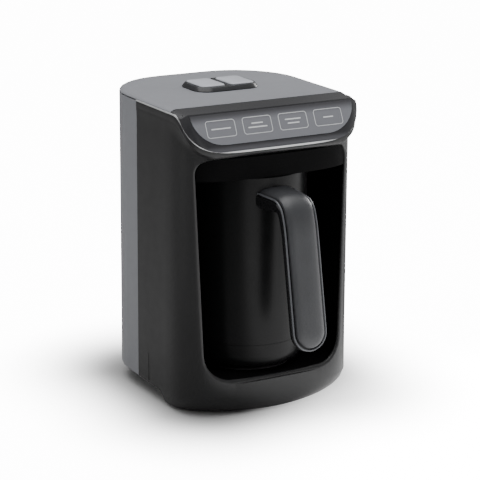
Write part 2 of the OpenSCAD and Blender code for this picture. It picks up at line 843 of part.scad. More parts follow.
module thermostat() {
    color([0.75, 0.74, 0.7])
        translate([0, pot_y, plate_top_z - 2.7]) {
            translate([0, 0, -6]) cylinder(r = 8, h = 6, $fn = 48);
            for (x = [-4, 4]) translate([x - 0.4, -2, -12]) cube([0.8, 4, 6.5]);
        }
}

module thermal_fuse() {
    color([0.85, 0.85, 0.82])
        translate([-12, pot_y - 8, plate_top_z - 5.2]) rotate([0, 90, 0]) {
            cylinder(r = 2, h = 8, center = true, $fn = 24);
            cylinder(r = 0.5, h = 12, center = true, $fn = 16);
        }
}

module heat_shield() {
    low = element_top_z - 2 * element_tube_r - 3.4;
    lip_low = liner_low_z - 3.4;
    color([0.7, 0.71, 0.72])
        translate([0, pot_y, 0]) difference() {
            rotate_extrude($fn = 96) polygon([
                [16, low], [plate_r - 3, low], [plate_r + 0.6, low + 2.5],
                [plate_r + 0.6, lip_low + 0.7], [plate_r + 4, lip_low + 0.7],
                [plate_r + 4, lip_low], [plate_r + 1.3, lip_low],
                [plate_r + 1.3, low + 2.2], [plate_r - 2.7, low - 0.7], [16, low - 0.7]
            ]);
            for (a = terminal_angles)
                rotate([0, 0, a]) translate([element_r, 0, low - 2])
                    cylinder(r = terminal_r + 1, h = 4, $fn = 24);
        }
}

// ---------- buttons ----------

module button_bezel() {
    flange = rounded(bezel_w, bezel_d, 13);
    color([0.3, 0.31, 0.32])
        translate([0, buttons_y, 0]) difference() {
            union() {
                skin([
                    ring_at(flange, body_h + 0.05),
                    ring_at(flange, body_h + 0.6),
                    ring_at(rounded(bezel_w - 4, bezel_d - 4, 11), bezel_top_z - 0.5),
                    ring_at(rounded(bezel_w - 5.4, bezel_d - 5.4, 10.3), bezel_top_z)
                ]);
                prism(rounded(bezel_w - 3.4, bezel_d - 3.4, 8.8), guide_low_z, body_h + 0.3);
            }
            for (s = [-1, 1]) {
                translate([s * cap_x, 0, 0])
                    prism(rounded(cap_w + 2 * cap_clear, cap_d + 2 * cap_clear, 5), guide_top_z, body_h + 20);
                translate([s * cap_x, 0, guide_low_z - 1])
                    cylinder(r = stem_r + stem_clear, h = 20, $fn = 48);
            }
            // Finger notch behind the bar between the caps
            translate([0, cap_d / 2 - 2, bezel_top_z]) rotate([-90, 0, 0])
                cylinder(r = 1.6, h = 20, $fn = 24);
        }
}

module button(side) {
    color([0.66, 0.67, 0.68])
        translate([side * cap_x, buttons_y, 0]) {
            difference() {
                skin([
                    ring_at(rounded(cap_w, cap_d, 4.6), cap_low_z),
                    ring_at(rounded(cap_w, cap_d, 4.6), cap_top_z - 1),
                    ring_at(rounded(cap_w - 0.7, cap_d - 0.7, 4.3), cap_top_z - 0.3),
                    ring_at(rounded(cap_w - 1.8, cap_d - 1.8, 3.8), cap_top_z)
                ]);
                prism(rounded(cap_w - 3.2, cap_d - 3.2, 3.2), cap_low_z - 1, cap_top_z - 2);
            }
            translate([0, 0, stem_low_z]) cylinder(r = stem_r, h = cap_top_z - 1.5 - stem_low_z, $fn = 48);
        }
}

module left_button() button(-1);
module right_button() button(1);

spring_wire = 0.45;
spring_turns = 4;

// A round-wire compression spring round a stem.
module spring(side) {
    low = guide_top_z + spring_wire + 0.05;
    high = cap_top_z - 2 - spring_wire - 0.05;
    coil_r = stem_r + 1.2;
    steps = 14 * spring_turns;
    color([0.75, 0.76, 0.78])
        translate([side * cap_x, buttons_y, 0])
            skin([for (i = [0:steps]) let (a = 360 * spring_turns * i / steps)
                [for (k = [0:5]) let (b = -60 * k)
                    [(coil_r + spring_wire * cos(b)) * cos(a), (coil_r + spring_wire * cos(b)) * sin(a),
                        low + (high - low) * i / steps + spring_wire * sin(b)]]]);
}

module left_spring() spring(-1);
module right_spring() spring(1);

module tact_switches() {
    for (s = [-1, 1])
        translate([s * cap_x, buttons_y, board_z + board_t]) {
            color([0.1, 0.1, 0.1]) translate([-3, -3, 0.02]) cube([6, 6, switch_h]);
            color([0.8, 0.8, 0.8]) cylinder(r = 1.6, h = switch_h + plunger_h, $fn = 24);
        }
}

module control_board() {
    color([0.08, 0.3, 0.16])
        translate([0, buttons_y, board_z]) difference() {
            union() {
                linear_extrude(board_t) polygon(rounded(board_w, board_d, 3));
                translate([0, -board_d / 2 + 9, board_t]) linear_extrude(2.4) polygon(rounded(12, 10, 0.6));
                for (x = [-24, 24]) translate([x - 5, board_d / 2 - 12, board_t]) cube([10, 5, 6]);
            }
            for (p = four(board_hole_x, board_hole_y, -1))
                translate(p) cylinder(r = screw_r + 0.2, h = 5, $fn = 24);
        }
}

module buzzer() {
    color([0.06, 0.06, 0.06])
        translate([26, buttons_y - 12, board_z + board_t + 0.02]) difference() {
            cylinder(r = 6, h = buzzer_h, $fn = 48);
            translate([0, 0, buzzer_h - 3]) cylinder(r = 1.2, h = 5, $fn = 24);
        }
}

module screw(length, head_r = 2.8, head_h = 1.8) {
    cylinder(r = screw_r - 0.05, h = length, $fn = 24);
    translate([0, 0, -head_h]) difference() {
        cylinder(r = head_r, h = head_h, $fn = 32);
        translate([0, 0, -0.01]) cylinder(r = 1.2, h = 1, $fn = 6);
    }
}

module board_screws() {
    color([0.7, 0.7, 0.68])
        for (p = four(board_hole_x, board_hole_y, 0))
            translate([p[0], p[1] + buttons_y, board_z - 0.05]) screw(board_t + 6);
}

// ---------- mains side ----------

power_post_y = power_y + board_t + 8;

module power_board() {
    color([0.08, 0.3, 0.16])
        translate([0, power_y, power_low_z + power_h / 2]) rotate([90, 0, 0]) difference() {
            union() {
                translate([0, 0, -board_t]) linear_extrude(board_t) polygon(rounded(power_w, power_h, 3));
                for (x = [-30, -18]) translate([x, power_h / 4, 0]) cylinder(r = 5, h = 16, $fn = 32);
                translate([8, power_h / 4, 0]) linear_extrude(10) polygon(rounded(26, 12, 0.8));
            }
            for (p = four(bracket_x, power_h / 2 - 12, -board_t - 1))
                translate(p) cylinder(r = screw_r + 0.2, h = 5, $fn = 24);
        }
}

module transformer() {
    color([0.15, 0.15, 0.16])
        translate([-20, power_y - 0.05, power_low_z + power_h * 0.3]) rotate([90, 0, 0]) {
            linear_extrude(transformer_d) polygon(rounded(transformer_w - 6, transformer_h, 1.5));
            linear_extrude(transformer_d - 6) polygon(rounded(transformer_w, transformer_h - 10, 1));
        }
}

module relay() {
    color([0.1, 0.2, 0.45])
        translate([24, power_y - 0.05, power_low_z + power_h * 0.3]) rotate([90, 0, 0])
            linear_extrude(relay_h) polygon(rounded(relay_w, relay_h, 1));
}

// Plastic stand-offs with screws between the power board and the posts of the rear cover.
module board_brackets() {
    color([0.75, 0.75, 0.72])
        for (s = [-1, 1], z = bracket_z)
            translate([s * bracket_x, power_y + board_t + 0.05, z]) rotate([-90, 0, 0]) {
                difference() {
                    cylinder(r = 4, h = 7.9, $fn = 32);
                    translate([0, 0, -1]) cylinder(r = screw_r + 0.1, h = 10, $fn = 24);
                }
                translate([0, 0, -board_t - 0.1]) screw(17);
            }
}

// ---------- base ----------

module base_plate() {
    side_tuck = tuck_in * pow(1 - (side_lift - skirt_lift) / tuck_h, 1.5);
    front_z = skirt_lift + 2.4;
    step_y = tray_back_y + 3;
    riser_half = half_w - tuck_in - wall - 5;
    color([0.09, 0.09, 0.095])
        difference() {
            union() {
                intersection() {
                    prism(foot_outline(front_z, wall + 0.6), front_z, front_z + base_t);
                    translate([-body_w, -body_w, 0]) cube([2 * body_w, body_w + step_y, 50]);
                }
                intersection() {
                    prism(body_outline(wall + side_tuck + 0.4), side_lift, side_lift + base_t);
                    translate([-body_w, step_y - 0.1, 0]) cube([2 * body_w, 2 * body_w, 50]);
                }
                // Riser between the two levels
                translate([-riser_half, step_y - base_t, front_z])
                    cube([2 * riser_half, base_t, side_lift + base_t - front_z]);
            }
            for (s = [-1, 1]) {
                translate([s * boss_x, boss_y, 0]) cylinder(r = screw_r + 0.3, h = 40, $fn = 24);
                translate([s * rear_boss_x, rear_boss_y, 0]) cylinder(r = screw_r + 0.3, h = 40, $fn = 24);
                translate([s * front_foot_x, front_foot_y, 0]) cylinder(r = 2.6, h = 20, $fn = 32);
                translate([s * rear_foot_x, rear_foot_y, 0]) cylinder(r = 2.6, h = 40, $fn = 32);
            }
            // Air slots under the electronics
            for (i = [-4:4])
                translate([i * 7, power_y - 20, side_lift]) linear_extrude(20, center = true)
                    polygon(rounded(3, 36, 1.45, 4));
        }
}

// A rubber foot with a barbed plug that holds it in the base plate.
module rubber_foot(height) {
    rotate_extrude($fn = 48) polygon(concat(
        [[0, 0]],
        arc([foot_r - 1, 1], 1, -90, 0, 4),
        [[foot_r + 0.8, height - 0.05], [2.5, height - 0.05], [2.5, height + base_t + 0.1],
            [3.3, height + base_t + 0.1], [2, height + base_t + 2.6], [0, height + base_t + 2.6]]
    ));
}

module front_feet() {
    color([0.16, 0.16, 0.16])
        for (s = [-1, 1]) translate([s * front_foot_x, front_foot_y, 0]) rubber_foot(skirt_lift + 2.4);
}

module rear_feet() {
    color([0.16, 0.16, 0.16])
        for (s = [-1, 1]) translate([s * rear_foot_x, rear_foot_y, 0]) rubber_foot(side_lift);
}

module base_screws() {
    color([0.7, 0.7, 0.68])
        for (s = [-1, 1]) {
            translate([s * boss_x, boss_y, side_lift - 0.05]) screw(base_t + 14);
            translate([s * rear_boss_x, rear_boss_y, side_lift - 0.05]) screw(base_t + 14);
        }
}

// Rubber gland in the rear cover, its bore along Y.
module cord_gland() {
    color([0.12, 0.12, 0.12])
        translate([0, rear_reach, gland_z]) rotate([-90, 0, 0])
            rotate_extrude($fn = 64) polygon([
                [gland_bore_r, -9], [gland_seat_r + 2, -9], [gland_seat_r + 2, -6.5],
                [gland_seat_r - 0.15, -6.5], [gland_seat_r - 0.15, 0.2], [gland_seat_r - 0.8, 0.9],
                [gland_bore_r + 1.2, 0.9], [gland_bore_r, 0.2]
            ]);
}

// ---------- pot ----------

module pot_body() {
    low = seam_z + 0.25;
    color([0.06, 0.06, 0.065])
        translate([0, pot_y, 0]) difference() {
            union() {
                rotate_extrude($fn = 128) polygon(concat(
                    [[0, low + 2], [pot_r - 6, low + 2], [pot_r - 6, low], [pot_r, low]],
                    arc([pot_r - 0.8, pot_top_z - 0.8], 0.8, 0, 90, 4),
                    [[0, pot_top_z]]
                ));
                for (s = [-1, 1]) spout(s, 0);
            }
            translate([0, 0, low + 4.4]) cylinder(r = pot_r - pot_wall, h = 300, $fn = 96);
            for (s = [-1, 1]) spout(s, pot_wall);
            translate([0, 0, pot_top_z]) cylinder(r = pot_r * 2, h = 40, $fn = 32);
            // Hole for the screw of the handle
            translate([0, -pot_r / 2, screw_z]) rotate([90, 0, 0])
                cylinder(r = screw_r + 0.2, h = pot_r, $fn = 24);
        }
}

spout_h = 22;

// Half-cone that swells the rim outward to each side, or its inside when inset is positive.
module spout(side, inset) {
    translate([side * (pot_r - 12 + spout_out), 0, pot_top_z - spout_h + inset * 1.6])
        cylinder(r1 = 3, r2 = 12 - inset, h = spout_h + (inset > 0 ? 1 : 0), $fn = 48);
}

module pot_cup() {
    low = seam_z + 4.75;
    color([0.75, 0.75, 0.76])
        translate([0, pot_y, 0]) rotate_extrude($fn = 128) polygon(concat(
            [[0, low]],
            arc([cup_r - 6, low + 6], 6, -90, 0, 6),
            [[cup_r, pot_top_z - spout_h - 2], [cup_r - cup_t, pot_top_z - spout_h - 2]],
            [for (p = arc([cup_r - 6, low + 6], 6 - cup_t, 0, -90, 6)) p],
            [[0, low + cup_t]]
        ));
}

module pot_foot_ring() {
    in_r = pot_r - foot_round - 1.5;
    color([0.06, 0.06, 0.065])
        translate([0, pot_y, 0]) rotate_extrude($fn = 128) polygon(concat(
            [[in_r, pot_low_z + 2], [in_r, pot_low_z + 0.4]],
            arc([pot_r - foot_round, pot_low_z + foot_round], foot_round, -90, 0, 10),
            [[pot_r, seam_z], [pot_r - 6.2, seam_z], [pot_r - 6.2, seam_z + 2],
                [pot_r - 8.6, seam_z + 2], [pot_r - 8.6, pot_low_z + foot_round]]
        ));
}

module pot_base_disc() {
    disc_r = pot_r - foot_round - 1.7;
    color([0.72, 0.72, 0.73])
        translate([0, pot_y, 0]) rotate_extrude($fn = 96) polygon([
            [0, pot_low_z], [disc_r - 0.4, pot_low_z], [disc_r, pot_low_z + 0.4],
            [disc_r, pot_low_z + 1.8], [disc_r - 1, pot_low_z + 5], [0, pot_low_z + 5]
        ]);
}

// ---------- handle ----------

deg = 180 / PI;
handle_sides = 20;
root_in = 5;
insert_seat = 0.75;

// The path of the strap's face in side view (y, z): a straight root, a tight bend, a gentle curve
// and a straight strap. Places on it are given by the distance s along it.
path_start = [pot_front_y + root_in, handle_top_z + root_in * sin(root_dip)];
bend_s = root_in + root_run;
ease_s = bend_s + hook_r * hook_turn / deg;
strap_s = ease_s + ease_r * (90 - strap_lean - root_dip - hook_turn) / deg;

function heading(s) = s < bend_s ? root_dip
    : s < ease_s ? root_dip + (s - bend_s) / hook_r * deg
    : s < strap_s ? root_dip + hook_turn + (s - ease_s) / ease_r * deg
    : 90 - strap_lean;

function along(a) = [-cos(a), -sin(a)];
function bent(p, r, a0, a1) = p + r * [sin(a0) - sin(a1), cos(a1) - cos(a0)];

bend_at = path_start + bend_s * along(root_dip);
ease_at = bent(bend_at, hook_r, root_dip, root_dip + hook_turn);
strap_at = bent(ease_at, ease_r, root_dip + hook_turn, 90 - strap_lean);
path_len = strap_s + (strap_at[1] - handle_low) / cos(strap_lean);
end_s = path_len - grip_w / 2;

function path_at(s) = s < bend_s ? path_start + s * along(root_dip)
    : s < ease_s ? bent(bend_at, hook_r, root_dip, heading(s))
    : s < strap_s ? bent(ease_at, ease_r, root_dip + hook_turn, heading(s))
    : strap_at + (s - strap_s) * along(90 - strap_lean);

function path_out(s) = let (a = heading(s)) [-sin(a), cos(a)];

function half_width(s, edge) = let (r = grip_w / 2 - edge)
    s < bend_s ? r + root_flare / 2 * pow(1 - s / bend_s, 1.5)
    : s < end_s ? r
    : sqrt(max(r * r - pow(s - end_s, 2), 1));

function thickness(s) = let (fade = 2 * bend_s + hook_r)
    grip_t + (s < fade ? root_deep * pow(1 - s / fade, 1.5) : 0);

// Rounded cross-section of the strap at s. Its sides are upright at depth mid; crest is the
// squareness in front of that, where 2 gives a round crown.
function strap_ring(s, edge, top, mid, bottom, crest) = let (
    at = path_at(s),
    out = path_out(s),
    w = half_width(s, edge)
) [for (k = [0:handle_sides - 1]) let (
    a = 360 * k / handle_sides,
    front = sin(a) >= 0,
    square = front ? crest : 2.8,
    n = mid + (front ? top - mid : mid - bottom) * signed_power(sin(a), 2 / square),
    p = at + n * out
) [w * signed_power(cos(a), 2 / square), p[0], p[1]]];

// Places along the strap from s0, closest together in the bend and round the lower end.
function strap_steps(s0, edge) = concat(
    [s0, (s0 + bend_s) / 2],
    [for (i = [0:8]) bend_s + (ease_s - bend_s) * i / 8],
    [for (i = [1:3]) ease_s + (strap_s - ease_s) * i / 3],
    [for (i = [1:3]) strap_s + (end_s - strap_s) * i / 3],
    [for (i = [1:7]) end_s + (grip_w / 2 - edge) * sin(90 * i / 7)]
);

module handle_shell() {
    color([0.1, 0.1, 0.105])
        difference() {
            skin([for (s = strap_steps(0, 0)) let (t = thickness(s))
                strap_ring(s, 0, -insert_seat, -insert_seat - 0.35 * (t - insert_seat), -t, 6)]);
            translate([0, pot_y, handle_low]) cylinder(r = pot_r + 0.05, h = 200, $fn = 128);
            translate([0, pot_front_y + 1, screw_z]) rotate([90, 0, 0])
                cylinder(r = screw_r + 0.1, h = screw_depth + 1.5, $fn = 24);
        }
}

// The crown of the soft cover sinks towards its lower end.
function crown(s) = crown_h * (s < end_s ? 1
    : pow(half_width(s, insert_edge) / (grip_w / 2 - insert_edge), 0.7));

module handle_insert() {
    color([0.3, 0.3, 0.31])
        difference() {
            skin([for (s = strap_steps(root_in - 3.5, insert_edge))
                strap_ring(s, insert_edge, crown(s), 0.1, 0.05 - insert_seat, 2.3)]);
            translate([0, pot_y, handle_low]) cylinder(r = pot_r + 0.3, h = 200, $fn = 128);
        }
}

bead_r = 0.75;
bead_edge = bead_r + 0.15;
bead_s = root_in - 2;

// Path of the bead as (x, s): from the pot down one side of the cover, round its end and up again.
function bead_path() = let (
    r = grip_w / 2 - bead_edge,
    side = [for (s = strap_steps(bead_s, bead_edge)) if (s < end_s) s]
) concat(
    [for (s = side) [half_width(s, bead_edge), s]],
    [for (i = [0:12]) let (a = 15 * i) [r * cos(a), end_s + r * sin(a)]],
    [for (i = [len(side) - 1:-1:0]) [-half_width(side[i], bead_edge), side[i]]]
);

function on_strap(p, n) = let (q = path_at(p[1]) + n * path_out(p[1])) [p[0], q[0], q[1]];

module handle_bead() {
    path = bead_path();
    last = len(path) - 1;
    sides = 8;
    color([0.5, 0.5, 0.51])
        skin([for (i = [0:last]) let (
            here = on_strap(path[i], bead_r + 0.05 - insert_seat),
            ahead = on_strap(path[min(i + 1, last)], 0) - on_strap(path[max(i - 1, 0)], 0),
            out = path_out(path[i][1]),
            up = [0, out[0], out[1]],
            side = cross(ahead / norm(ahead), up)
        ) [for (k = [0:sides - 1]) let (a = -360 * k / sides)
            here + bead_r * (cos(a) * side + sin(a) * up)]]);
}

// The screw enters from inside the pot, above the rim of the cup.
module handle_screw() {
    head_y = pot_front_y + pot_wall + 0.15;
    color([0.7, 0.7, 0.68])
        translate([0, head_y, screw_z]) rotate([90, 0, 0])
            screw(head_y - pot_front_y + screw_depth, 3.4, 1.2);
}

front_housing();
rear_cover();
top_cover();
visor();
panel_overlay();
trim_bead();
niche_liner();
niche_floor();
niche_header();
plate_seal();
heater_plate();
heating_element();
thermostat();
thermal_fuse();
heat_shield();
foam_sensor();
sensor_board();
button_bezel();
left_button();
right_button();
left_spring();
right_spring();
tact_switches();
control_board();
buzzer();
board_screws();
power_board();
transformer();
relay();
board_brackets();
base_plate();
front_feet();
rear_feet();
base_screws();
cord_gland();
pot_body();
pot_cup();
pot_foot_ring();
pot_base_disc();
handle_shell();
handle_insert();
handle_bead();
handle_screw();
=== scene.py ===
"""Looks of an electric Turkish coffee maker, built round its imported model.

The file is laid out as a Blender add-on and run as a script. Sizes are in metres, +Z is up and the
niche faces -Y. Each operator finishes one group of pieces, and main() calls them in order.
"""

import math

import bmesh
import bpy
from bpy.props import FloatProperty, FloatVectorProperty, PointerProperty
from mathutils import Euler, Matrix, Vector


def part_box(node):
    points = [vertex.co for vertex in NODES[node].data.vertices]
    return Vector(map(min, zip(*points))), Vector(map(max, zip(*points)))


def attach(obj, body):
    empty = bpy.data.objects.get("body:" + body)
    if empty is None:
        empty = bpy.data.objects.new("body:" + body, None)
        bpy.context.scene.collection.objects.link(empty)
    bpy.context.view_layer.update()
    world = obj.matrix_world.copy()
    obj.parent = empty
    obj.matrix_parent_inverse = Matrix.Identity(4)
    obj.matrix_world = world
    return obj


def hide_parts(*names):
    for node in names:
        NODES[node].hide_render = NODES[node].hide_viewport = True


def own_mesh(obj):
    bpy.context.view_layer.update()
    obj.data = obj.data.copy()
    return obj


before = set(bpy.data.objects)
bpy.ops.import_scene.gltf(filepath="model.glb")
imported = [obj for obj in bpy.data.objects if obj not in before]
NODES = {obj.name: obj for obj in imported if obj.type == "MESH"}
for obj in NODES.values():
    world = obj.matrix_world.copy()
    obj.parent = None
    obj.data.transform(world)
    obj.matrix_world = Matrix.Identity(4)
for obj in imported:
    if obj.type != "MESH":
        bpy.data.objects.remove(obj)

bl_info = {
    "name": "Turkish Coffee Maker Finishes",
    "version": (1, 0, 0),
    "blender": (4, 5, 0),
    "location": "View3D > Sidebar > Coffee Maker",
    "description": "Camera, stage, finishes and printed detail of an electric Turkish coffee maker",
    "category": "Object",
}

MACHINE = "machine"
POT = "pot"
LEFT_KEY = "left_key"
RIGHT_KEY = "right_key"

# Each light: its name, place, width and height, and the setting that holds its power
LIGHTS = (
    ("top_light", (-0.15, 0.1, 1.35), (1.3, 1.3), "top_power"),
    ("left_light", (-1.1, 0.0, 0.45), (0.5, 0.8), "left_power"),
    ("right_light", (1.1, 0.45, 0.4), (0.3, 0.9), "right_power"),
    ("front_light", (0.2, -1.4, 0.4), (0.25, 0.6), "front_power"),
)
LIGHT_TARGET = Vector((0.0, 0.0, 0.12))
# Bands of the room's even light: the height of a direction, from -1 for straight down, and its grey
SKY_BANDS = (
    (-1.0, 0.9), (-0.75, 0.9), (-0.45, 0.2), (0.0, 0.1), (0.4, 0.12), (0.75, 0.5), (1.0, 0.5)
)
# The share of a direction along +X where the room starts to gain light, and where the gain is full
SIDE_START, SIDE_FULL = 0.5, 0.95
# The paper glows where both of these hold: a direction on the floor, and where along it the glow
# starts and is full
PAPER_GLOWS = (((0.83, -0.56, 0.0), 0.0, 0.12), ((0.0, -1.0, 0.0), -0.02, 0.06))
# The white glow lies this high above the paper. It is measured from the footprint's box less an inset for
# its round corners, and starts that far out, so that the grey paper round the footprint shows as a
# painted soft shadow.
GLOW_LIFT = 0.0001
GLOW_INSET = 0.03
GLOW_START = 0.02

# Most of a noise's values lie between these
NOISE_LOW, NOISE_HIGH = 0.3, 0.7
NOISE_ROUGHNESS = 0.55
# Noise scales per metre of moulded plastic's clouds of tone and gloss, and of metal's drawn lines.
# Spreads are shares of the colour or the roughness.
CLOUD_SCALE = 28.0
GLOSS_SCALE = 90.0
GLOSS_SPREAD = 0.07
BRUSH_SCALE = 40.0
BRUSH_DEPTH = 0.04
BRUSH_SPREAD = 0.08
BRUSH_GLOSS_SPREAD = 0.2
BUMP_REACH = 0.0002

# Points closer than the gap are welded, shorter edges go, and edges below the angle are smooth
WELD_GAP = 2e-6
SLIVER_EDGE = 1e-6
SMOOTH_ANGLE = math.radians(32.0)
CORNER_STEPS = 6

# Heights over which the film's upper edge darkens as painted shade, and the visor's foot lightens as a
# painted highlight
FILM_SHADE_HEIGHT = 0.008
FOOT_HIGHLIGHT_HEIGHT = 0.004
# How far the print's middle is above the film's, and how far the print stands off the film
PRINT_RISE = 0.0005
PRINT_LIFT = 0.0001
# The plain bars in each printed box: their height above its middle, and their share of its width
BOX_BARS = (
    ((0.0, 0.66),),
    ((0.0016, 0.4), (-0.0016, 0.66)),
    ((0.0016, 0.56), (-0.0016, 0.42)),
    ((0.0, 0.36),),
)
# A bar's height in line widths
BAR_LINES = 2.2
# How far below its top the painted shade on a cap's sides starts, and where it is full
CAP_SHADE_START, CAP_SHADE_FULL = 0.0006, 0.0011


def colour_property(name, description, default):
    """A colour that a user may change, in linear light."""
    return FloatVectorProperty(
        name=name, description=description, default=default, size=3, min=0.0, max=1.0, subtype="COLOR"
    )


def length_property(name, description, default):
    """A length in metres that a user may change."""
    return FloatProperty(name=name, description=description, default=default, min=0.0, unit="LENGTH")


def power_property(name, description, default):
    """The power or brightness of a light."""
    return FloatProperty(name=name, description=description, default=default, min=0.0)


def share_property(name, description, default):
    """A number from 0 to 1 that a user may change."""
    return FloatProperty(name=name, description=description, default=default, min=0.0, max=1.0)


class StageSettings(bpy.types.PropertyGroup):
    """Camera, floor and lights."""

    camera_place: FloatVectorProperty(
        name="Camera Place",
        description="Where the camera stands",
        default=(-0.731, -1.2812, 0.5456),
        subtype="TRANSLATION",
        unit="LENGTH",
    )
    camera_turn: FloatProperty(
        name="Camera Turn",
        description="How far the camera looks to the right of straight back",
        default=math.radians(29.6),
        subtype="ANGLE",
    )
    camera_drop: FloatProperty(
        name="Camera Drop",
        description="How far the camera looks below the horizon",
        default=math.radians(15.8),
        subtype="ANGLE",
    )
    camera_roll: FloatProperty(
        name="Camera Roll",
        description="How far the camera leans to its left about its own axis",
        default=math.radians(0.45),
        subtype="ANGLE",
    )
    lens: FloatProperty(
        name="Lens",
        description="Focal length on a 36 mm sensor",
        default=139.3,
        min=20.0,
        subtype="DISTANCE_CAMERA",
    )
    floor_half: length_property("Floor Reach", "Half of the floor's side", 12.0)
    floor_colour: colour_property("Floor Colour", "Colour of the pale floor", (0.3, 0.3, 0.3))
    floor_glow: power_property("Floor Glow", "Brightness that the floor gains away from the object", 14.0)
    front_glow: power_property("Front Glow", "Brightness of the paper in front on the right", 2.2)
    # Painted shadow: between the glow's start and this distance the glow fades in, leaving a soft shadow
    # round the footprint
    painted_shadow_reach: length_property("Glow Reach", "Distance from the object where the glow is full", 0.17)
    sky_strength: power_property("Sky Strength", "Brightness of a band of the room whose grey is 1", 1.6)
    sky_side: power_property("Side Strength", "Brightness that the room gains towards the right", 0.5)
    top_power: power_property("Top Light Power", "Power of the large soft light overhead", 22.0)
    left_power: power_property("Left Light Power", "Power of the tall light on the left", 3.0)
    right_power: power_property("Right Light Power", "Power of the tall light on the right", 8.0)
    front_power: power_property("Front Light Power", "Power of the soft light in front", 1.3)


class CasingSettings(bpy.types.PropertyGroup):
    """Colours of the moulded casings."""

    dark: colour_property("Front Colour", "Colour of the front housing", (0.014, 0.014, 0.0145))
    silver: colour_property("Deck Colour", "Colour of the deck", (0.169, 0.173, 0.188))
    # Painted light: the deck's silver made lighter for the rear cover, whose side gets less light
    cover: colour_property("Cover Colour", "Colour of the rear cover", (0.193, 0.197, 0.213))
    gloss: share_property("Roughness", "Roughness of the moulded casings", 0.42)


class PanelSettings(bpy.types.PropertyGroup):
    """The slanted panel and its printed boxes."""

    strip: colour_property("Visor Colour", "Colour of the glossy visor", (0.02, 0.02, 0.022))
    # Painted highlight: the glossy visor lightens towards this colour along its foot
    foot: colour_property("Foot Colour", "Colour of the visor's foot", (0.064, 0.064, 0.0704))
    film: colour_property("Film Colour", "Colour of the panel film", (0.14, 0.143, 0.157))
    # Painted shade: the film darkens towards this colour along its upper edge
    painted_film_shade: colour_property("Film Edge", "Colour of the film's upper edge", (0.034, 0.034, 0.0374))
    # Partly painted highlight: the bead is a real part, and its light colour also stands in for the
    # highlight along the rim's edge
    bead: colour_property("Bead Colour", "Colour of the plated bead", (0.45, 0.455, 0.46))
    ink: colour_property("Ink Colour", "Colour of the printed boxes", (0.55, 0.56, 0.57))
    box_width: length_property("Box Width", "Width of each printed box", 0.026)
    box_height: length_property("Box Height", "Height of each printed box along the panel", 0.0138)
    box_pitch: length_property("Box Pitch", "Distance between the middles of the boxes", 0.0326)
    box_corner: length_property("Box Corner", "Corner radius of the printed boxes", 0.0024)
    line: length_property("Line Width", "Width of the printed outlines", 0.00045)


class ButtonSettings(bpy.types.PropertyGroup):
    """Colours of the buttons and their bezel."""

    bezel: colour_property("Bezel Colour", "Colour of the button bezel", (0.0169, 0.0173, 0.0188))
    cap: colour_property("Cap Colour", "Colour of the tops of the buttons", (0.3549, 0.3633, 0.3948))
    # Painted shade: the caps' sides turn this dark to stand for the shadowed gap round them
    painted_cap_shade: colour_property("Cap Side", "Colour of the buttons' sides", (0.01014, 0.01038, 0.01128))
    coil: colour_property("Spring Colour", "Colour of the springs' wire", (0.6, 0.6, 0.62))


class PotSettings(bpy.types.PropertyGroup):
    """Colours of the pot and its handle."""

    pot: colour_property("Pot Colour", "Colour of the pot", (0.0038, 0.0038, 0.004))
    cup: colour_property("Cup Colour", "Colour of the steel cup", (0.6, 0.6, 0.6))
    shell: colour_property("Handle Colour", "Colour of the handle's back", (0.008, 0.008, 0.0085))
    grip: colour_property("Grip Colour", "Colour of the handle's soft front", (0.027, 0.028, 0.0308))
    # Partly painted highlight: the bead is a real part, and its lighter colour also stands in for the
    # highlight on the rim's rounded edge
    bead: colour_property("Bead Colour", "Colour of the handle's bead", (0.0702, 0.0728, 0.08008))
    screw: colour_property("Screw Colour", "Colour of the handle's screw", (0.5, 0.5, 0.5))


class InsideSettings(bpy.types.PropertyGroup):
    """Colours of the parts inside the casings and under them."""

    liner: colour_property("Liner Colour", "Colour of the niche liner", (0.003, 0.003, 0.0032))
    # Painted shade: the header is the liner's black made darker, for the shade under the brow
    header: colour_property("Header Colour", "Colour of the niche header", (0.0015, 0.0015, 0.0016))
    seal: colour_property("Seal Colour", "Colour of the heater's seal", (0.08, 0.08, 0.085))
    ceramic: colour_property("Ceramic Colour", "Colour of the ceramic parts", (0.6, 0.58, 0.54))
    sensor: colour_property("Sensor Colour", "Colour of the foam sensor", (0.08, 0.003, 0.004))
    board: colour_property("Board Colour", "Colour of the circuit boards", (0.02, 0.11, 0.05))
    black: colour_property("Black Colour", "Colour of black moulded parts", (0.02, 0.02, 0.02))
    iron: colour_property("Iron Colour", "Colour of the transformer's core", (0.12, 0.12, 0.13))
    relay: colour_property("Relay Colour", "Colour of the relay", (0.02, 0.06, 0.25))
    bracket: colour_property("Bracket Colour", "Colour of the board brackets", (0.6, 0.6, 0.56))
    steel: colour_property("Steel Colour", "Colour of bare steel", (0.55, 0.55, 0.55))
    rubber: colour_property("Rubber Colour", "Colour of the feet and the gland", (0.02, 0.02, 0.02))


# ---------- materials ----------


def shader_tree(name):
    """A new material with its shader; returns the material, its nodes, its links and the shader."""
    material = bpy.data.materials.new(name)
    material.use_nodes = True
    nodes, links = material.node_tree.nodes, material.node_tree.links
    return material, nodes, links, nodes["Principled BSDF"]


def place_input(nodes, links, stretch=(1.0, 1.0, 1.0)):
    """Object coordinates, stretched along each axis."""
    place = nodes.new("ShaderNodeTexCoord")
    mapping = nodes.new("ShaderNodeMapping")
    mapping.inputs["Scale"].default_value = stretch
    links.new(place.outputs["Object"], mapping.inputs["Vector"])
    return mapping.outputs["Vector"]


def noise(nodes, links, vector, scale, detail=4.0):
    """A noise texture of that scale; returns its value."""
    texture = nodes.new("ShaderNodeTexNoise")
    texture.inputs["Scale"].default_value = scale
    texture.inputs["Detail"].default_value = detail
    texture.inputs["Roughness"].default_value = NOISE_ROUGHNESS
    links.new(vector, texture.inputs["Vector"])
    return texture.outputs["Fac"]


